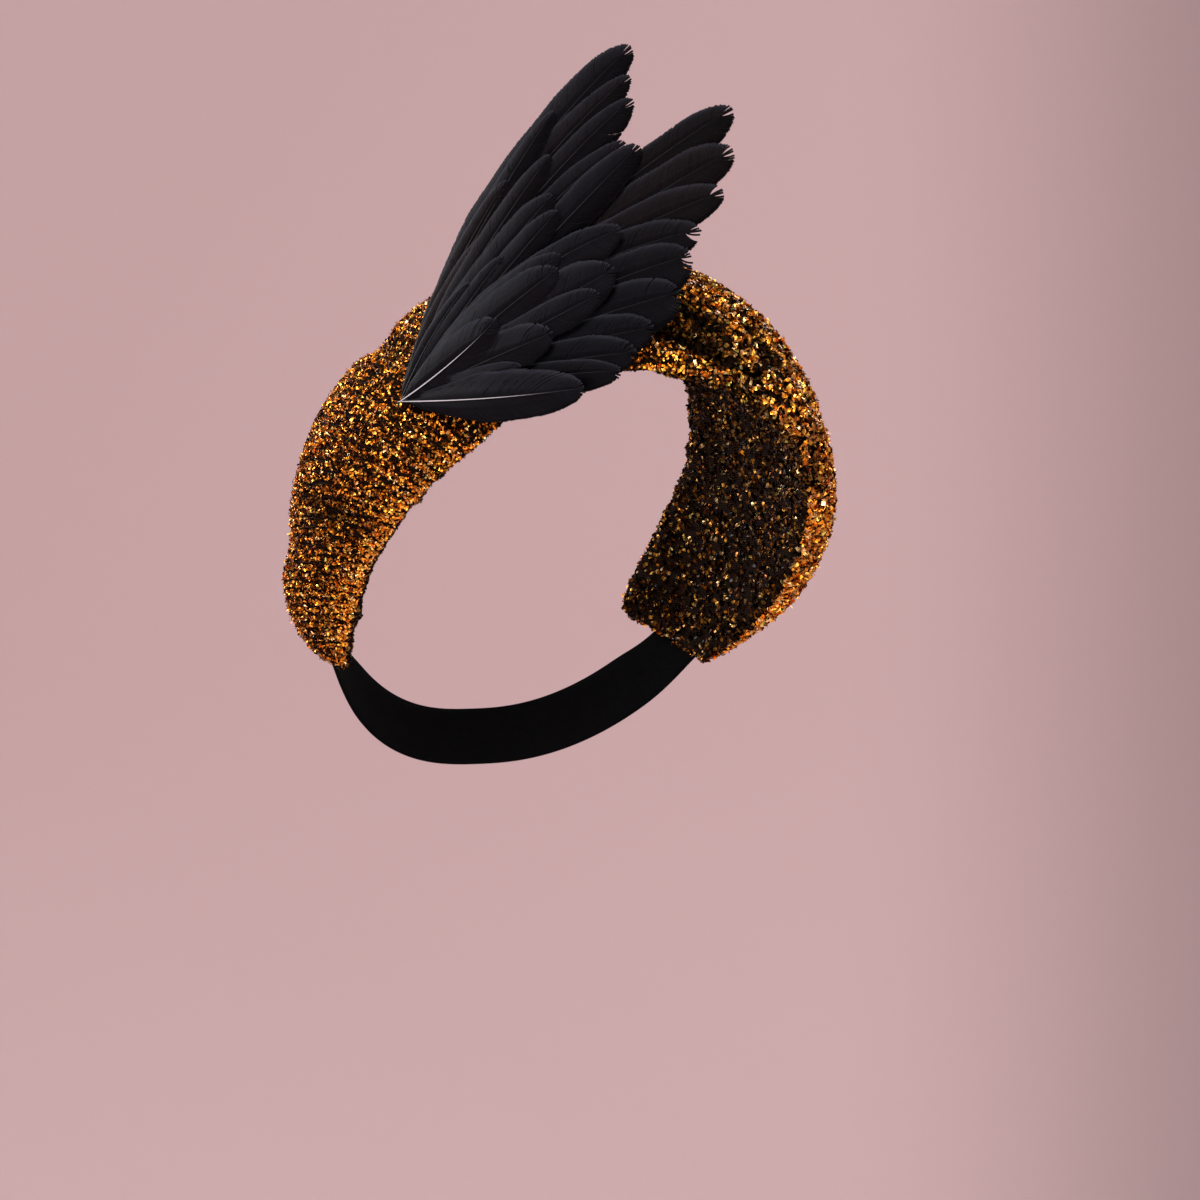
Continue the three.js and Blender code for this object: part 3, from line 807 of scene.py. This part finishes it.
def tube_faces(tubes, stations, sides):
    """The quads along tubes whose ends are open, for points in the order of tube, station and side."""
    start = (np.arange(tubes) * stations * sides)[:, None, None]
    row = (np.arange(stations - 1) * sides)[None, :, None]
    side = np.arange(sides)[None, None, :]
    after = (side + 1) % sides
    near, far = start + row, start + row + sides
    return np.stack((near + side, near + after, far + after, far + side), axis=-1).reshape(-1, 4)


def make_fan(fan, barb_material, shaft_material):
    """A fan of feathers that replaces its solid."""
    random = np.random.default_rng(SEED + len(fan["name"]))
    barbs = []
    tones = []
    shafts = []
    shaft_tones = []
    black, rim = PLUMAGE["black"], PLUMAGE["rim"]
    across = np.linspace(0, 1, BARB["stations"])
    for order, row in enumerate(fan["rows"]):
        feather = Feather(row, fan["above"] + order * BARB["layer"], random)
        tone = black + (PLUMAGE["brown"] - black) * row["brown"]
        for side in (1, -1):
            corners = feather.vane(side)
            shade = random.uniform(*PLUMAGE["shade"], len(corners))
            # Painted light and shade: the left vanes are painted lighter and the right ones darker, as if lit
            # from the left.
            lit = fan["tone"] * (1 + side * fan["contrast"])
            # Painted highlight: the left vane's outer edge is painted paler and bluer, as a rim of light.
            edge = across ** PLUMAGE["rim_highlight_power"] * (PLUMAGE["rim_highlight_share"] if side > 0 else 0.0)
            barbs.append(corners)
            tones.append((tone * lit + (rim - tone) * edge[:, None])[None] * shade[:, None, None])
        points, t = feather.rachis()
        shafts.append(points)
        white = row.get("pale", 0)
        pale = 1 - smoothstep(t, white * SHAFT["fade_from"], white) if white else t * 0
        colour = PLUMAGE["shaft"] + pale[:, None] * PLUMAGE["white"]
        shaft_tones.append(np.repeat(colour, points.shape[1], axis=0))
    corners = np.concatenate(barbs)
    quads = tube_faces(len(corners), BARB["stations"], 3)
    vane = add_mesh(fan["name"] + "_vanes", on_wing(corners).reshape(-1, 3), quads, barb_material)
    close_ends(vane)
    paint(vane, "tone", np.repeat(np.concatenate(tones).reshape(-1, 3), 3, axis=0))
    shaft_points = np.stack(shafts)
    shaft = add_mesh(
        fan["name"] + "_shafts",
        on_wing(shaft_points).reshape(-1, 3),
        tube_faces(len(shafts), shaft_points.shape[1], shaft_points.shape[2]),
        shaft_material,
    )
    close_ends(shaft)
    paint(shaft, "tone", np.concatenate(shaft_tones))
    for piece in (vane, shaft):
        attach(piece, "root")
    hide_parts(fan["node"])


def close_ends(piece):
    """Puts a face over each open end of a piece's tubes."""
    edit = bmesh.new()
    edit.from_mesh(piece.data)
    open_edges = [edge for edge in edit.edges if edge.is_boundary]
    bmesh.ops.holes_fill(edit, edges=open_edges, sides=0)
    bmesh.ops.recalc_face_normals(edit, faces=edit.faces)
    edit.to_mesh(piece.data)
    edit.free()


def strap_ends():
    """Where the elastic starts at each end of the band, and which way its width lies there."""
    ends = []
    for row in BAND_ENDS:
        sign = math.copysign(1, row["angle"])
        point = head_across(row["angle"] + sign * STRAP["gap"], (row["front"] + row["back"]) / 2)
        slant = -sign * STRAP["end_slant"]
        front = head_across(row["angle"] - slant, row["front"])
        back = head_across(row["angle"] + slant, row["back"])
        ends.append({
            "turn": math.atan2(point[0] / HEAD_HALF[0], point[1] / HEAD_HALF[1]),
            "height": point[2] - HEAD_HALF[2],
            "widthways": unit(back - front),
        })
    return ends


def head_across(degrees, y):
    """The head's surface at an angle round the Y axis and a place along Y, from the middle of the head."""
    sin, cos = math.sin(math.radians(degrees)), math.cos(math.radians(degrees))
    room = 1 - abs(y / HEAD_HALF[1]) ** HEAD_POWER
    share = abs(sin / HEAD_HALF[0]) ** HEAD_POWER + abs(cos / HEAD_HALF[2]) ** HEAD_POWER
    r = (room / share) ** (1 / HEAD_POWER)
    return np.array((r * sin, y, r * cos))


def head_round(angle, height):
    """The head's surface at an angle round the Z axis from the nape and at a height."""
    sin, cos = math.sin(angle), math.cos(angle)
    z = height + HEAD_HALF[2]
    room = 1 - abs(z / HEAD_HALF[2]) ** HEAD_POWER
    k = (room / (abs(sin) ** HEAD_POWER + abs(cos) ** HEAD_POWER)) ** (1 / HEAD_POWER)
    return np.array((HEAD_HALF[0] * k * sin, HEAD_HALF[1] * k * cos, z))


def make_elastic():
    """The woven elastic round the nape, with ribs along it."""
    ends = strap_ends()
    down = np.array((0, 0, HEAD_HALF[2]))

    def centre(share):
        turn = 1 - 2 * share
        drop = STRAP["dip"] * (1 - abs(turn) ** STRAP["dip_power"])
        level = ends[0]["height"] + (ends[1]["height"] - ends[0]["height"]) * share
        return head_round(turn * ends[0]["turn"] if turn > 0 else -turn * ends[1]["turn"], level - drop)

    across = np.linspace(-1, 1, STRAP["ribs"] * STRAP["rib_steps"] + 1)
    rib = STRAP["rib_height"] * np.abs(np.sin(across * STRAP["ribs"] * math.pi / 2))
    edge = (1 - np.abs(across) ** STRAP["edge_power"]) * STRAP["thickness"] / 2
    rings = []
    for share in np.linspace(0, 1, STRAP["stations"]):
        here = centre(share)
        heading = centre(min(share + STRAP["look"], 1)) - centre(max(share - STRAP["look"], 0))
        out = way_out((here - down)[None])[0]
        wide = unit(np.cross(heading, out))
        sewn = ends[0 if share < 0.5 else 1]["widthways"]
        sewn = sewn * math.copysign(1, sewn @ wide)
        loose = smoothstep(min(share, 1 - share), 0, STRAP["settle"])
        wide = unit(sewn + (wide - sewn) * loose)
        off = STRAP["off"] + (STRAP["off_end"] - STRAP["off"]) * abs(1 - 2 * share) ** STRAP["off_power"]
        line = here + wide * (across * STRAP["width"] / 2)[:, None]
        level = (np.abs(line / HEAD_HALF) ** HEAD_POWER).sum(axis=1) ** (1 / HEAD_POWER)
        line = line / level[:, None]
        away = way_out(line - down)
        middle = line - down + away * (off + STRAP["thickness"] / 2)
        outer = middle + away * (edge - STRAP["edge_inset"] + rib * STRAP["rib_outside"])[:, None]
        inner = middle - away * (edge - STRAP["edge_inset"] + rib * STRAP["rib_inside"])[:, None]
        rings.append(np.concatenate((outer, inner[::-1])))
    rings = np.stack(rings)
    faces = tube_faces(1, rings.shape[0], rings.shape[1])
    piece = add_mesh("woven_elastic", rings.reshape(-1, 3), faces, elastic_material())
    close_ends(piece)
    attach(piece, "root")
    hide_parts("nape_elastic")


# The camera stands level, at the angle that the wings face, with a long lens. The lens is in millimetres and
# the rest in metres.
CAMERA = {"distance": 1.4, "lens": 120.0, "aim": -0.118, "right": 0.007, "up": 0.01785}


def make_camera():
    facing = WING["facing"]
    forward = Vector((math.sin(facing), math.cos(facing), 0))
    right = Vector((math.cos(facing), -math.sin(facing), 0))
    data = bpy.data.cameras.new("camera")
    data.lens = CAMERA["lens"]
    data.sensor_width = 36
    camera = bpy.data.objects.new("camera", data)
    bpy.context.scene.collection.objects.link(camera)
    aim = Vector((0, 0, CAMERA["aim"] + CAMERA["up"])) + right * CAMERA["right"]
    camera.location = aim - forward * CAMERA["distance"]
    camera.rotation_euler = forward.to_track_quat("-Z", "Y").to_euler()
    bpy.context.scene.camera = camera
    bpy.context.scene.view_settings.view_transform = "Standard"


# The studio, in metres: a round floor that curves up into a wall, so that every view has a plain pale ground.
STUDIO = {
    "floor": -1.15,
    "rim_within": 0.01,
    "flat": 1.5,
    "cove": 1.0,
    "cove_steps": 20,
    "wall": 2.2,
    "sides": 96,
}
STUDIO_COLOUR = np.array((0.64, 0.49, 0.497))

# Painted shade on the studio's wall and floor: the share of its colour that it keeps, by degrees round to the
# right of straight ahead.
STUDIO_SHADE = [
    {"round": 110, "share": 1.0},
    {"round": 40, "share": 0.6},
    {"round": 16, "share": 0.6},
    {"round": 5.5, "share": 1.0},
]


def studio_material():
    nodes = Nodes("studio")
    nodes.set(Roughness=0.9, Specular_IOR_Level=0.1)
    place = nodes.add("ShaderNodeTexCoord")
    ahead = nodes.add("ShaderNodeMapping", Rotation=(0, 0, WING["facing"] - math.pi / 2))
    turn = nodes.add("ShaderNodeTexGradient", gradient_type="RADIAL")
    ramp = nodes.add("ShaderNodeValToRGB")
    ramp.color_ramp.interpolation = "EASE"
    stops = ramp.color_ramp.elements
    while len(stops) < len(STUDIO_SHADE):
        stops.new(0.5)
    for stop, row in zip(stops, STUDIO_SHADE):
        stop.position = 0.5 - row["round"] / 360
        stop.color = (*(STUDIO_COLOUR * row["share"]), 1)
    nodes.link(place.outputs["Object"], ahead.inputs["Vector"])
    nodes.link(ahead.outputs["Vector"], turn.inputs["Vector"])
    nodes.link(turn.outputs["Fac"], ramp.inputs["Fac"])
    nodes.link(ramp.outputs["Color"], nodes.shader.inputs["Base Color"])
    return nodes.material


def make_studio():
    profile = [(0.0, STUDIO["floor"]), (STUDIO["flat"], STUDIO["floor"])]
    for k in range(1, STUDIO["cove_steps"] + 1):
        angle = math.pi / 2 * k / STUDIO["cove_steps"]
        across = STUDIO["flat"] + STUDIO["cove"] * math.sin(angle)
        profile.append((across, STUDIO["floor"] + STUDIO["cove"] * (1 - math.cos(angle))))
    profile.append((STUDIO["flat"] + STUDIO["cove"], STUDIO["wall"]))
    turn = np.arange(STUDIO["sides"]) * 2 * math.pi / STUDIO["sides"]
    rings = [np.column_stack((r * np.cos(turn), r * np.sin(turn), turn * 0 + z)) for r, z in profile[1:]]
    points = np.concatenate(rings) / MM
    faces = tube_faces(1, len(rings), STUDIO["sides"])
    studio = add_mesh("studio_floor", points, faces, studio_material())
    close_floor(studio)


def close_floor(piece):
    """Puts a face over the middle of the studio's floor, and leaves its wall open at the top."""
    edit = bmesh.new()
    edit.from_mesh(piece.data)
    lowest = STUDIO["floor"] + STUDIO["rim_within"]
    rim = [edge for edge in edit.edges if edge.is_boundary and edge.verts[0].co.z < lowest]
    bmesh.ops.holes_fill(edit, edges=rim, sides=0)
    edit.to_mesh(piece.data)
    edit.free()


# The lamps, by how far round from the camera each stands and how high its light comes from, in degrees, and
# by how far off it is and how wide, in metres.
LAMPS = [
    {"name": "key", "round": -16, "rise": 40, "distance": 1.3, "size": 0.55, "power": 24},
    {"name": "fill", "round": 50, "rise": 24, "distance": 1.4, "size": 0.8, "power": 13},
    {"name": "bounce", "round": -30, "rise": -26, "distance": 1.1, "size": 0.8, "power": 8},
    {"name": "rim", "round": -110, "rise": 30, "distance": 1.2, "size": 0.5, "power": 16},
    {"name": "back", "round": 150, "rise": 35, "distance": 1.4, "size": 0.6, "power": 8},
]

# The height that they aim at, in metres, and the light of the air round them.
LAMP_AIM = -0.05
WORLD = {"colour": (1.0, 0.97, 0.95, 1.0), "strength": 0.7}


def make_lamps():
    for row in LAMPS:
        data = bpy.data.lights.new(row["name"], "AREA")
        data.size = row["size"]
        data.energy = row["power"]
        lamp = bpy.data.objects.new(row["name"], data)
        bpy.context.scene.collection.objects.link(lamp)
        azimuth = math.radians(row["round"]) - WING["facing"]
        rise = math.radians(row["rise"])
        level = math.cos(rise)
        back = Vector((math.sin(azimuth) * level, -math.cos(azimuth) * level, math.sin(rise)))
        lamp.location = Vector((0, 0, LAMP_AIM)) + back * row["distance"]
        lamp.rotation_euler = back.to_track_quat("Z", "Y").to_euler()
    world = bpy.data.worlds.new("studio_air")
    world.use_nodes = True
    world.node_tree.nodes["Background"].inputs["Color"].default_value = WORLD["colour"]
    world.node_tree.nodes["Background"].inputs["Strength"].default_value = WORLD["strength"]
    bpy.context.scene.world = world


make_camera()
make_studio()
make_lamps()
cover, painted_crease_shade = make_cover()
make_tinsel(cover, painted_crease_shade)
barb_material, shaft_material = feather_material(), quill_material()
for fan in FANS:
    make_fan(fan, barb_material, shaft_material)
make_elastic()
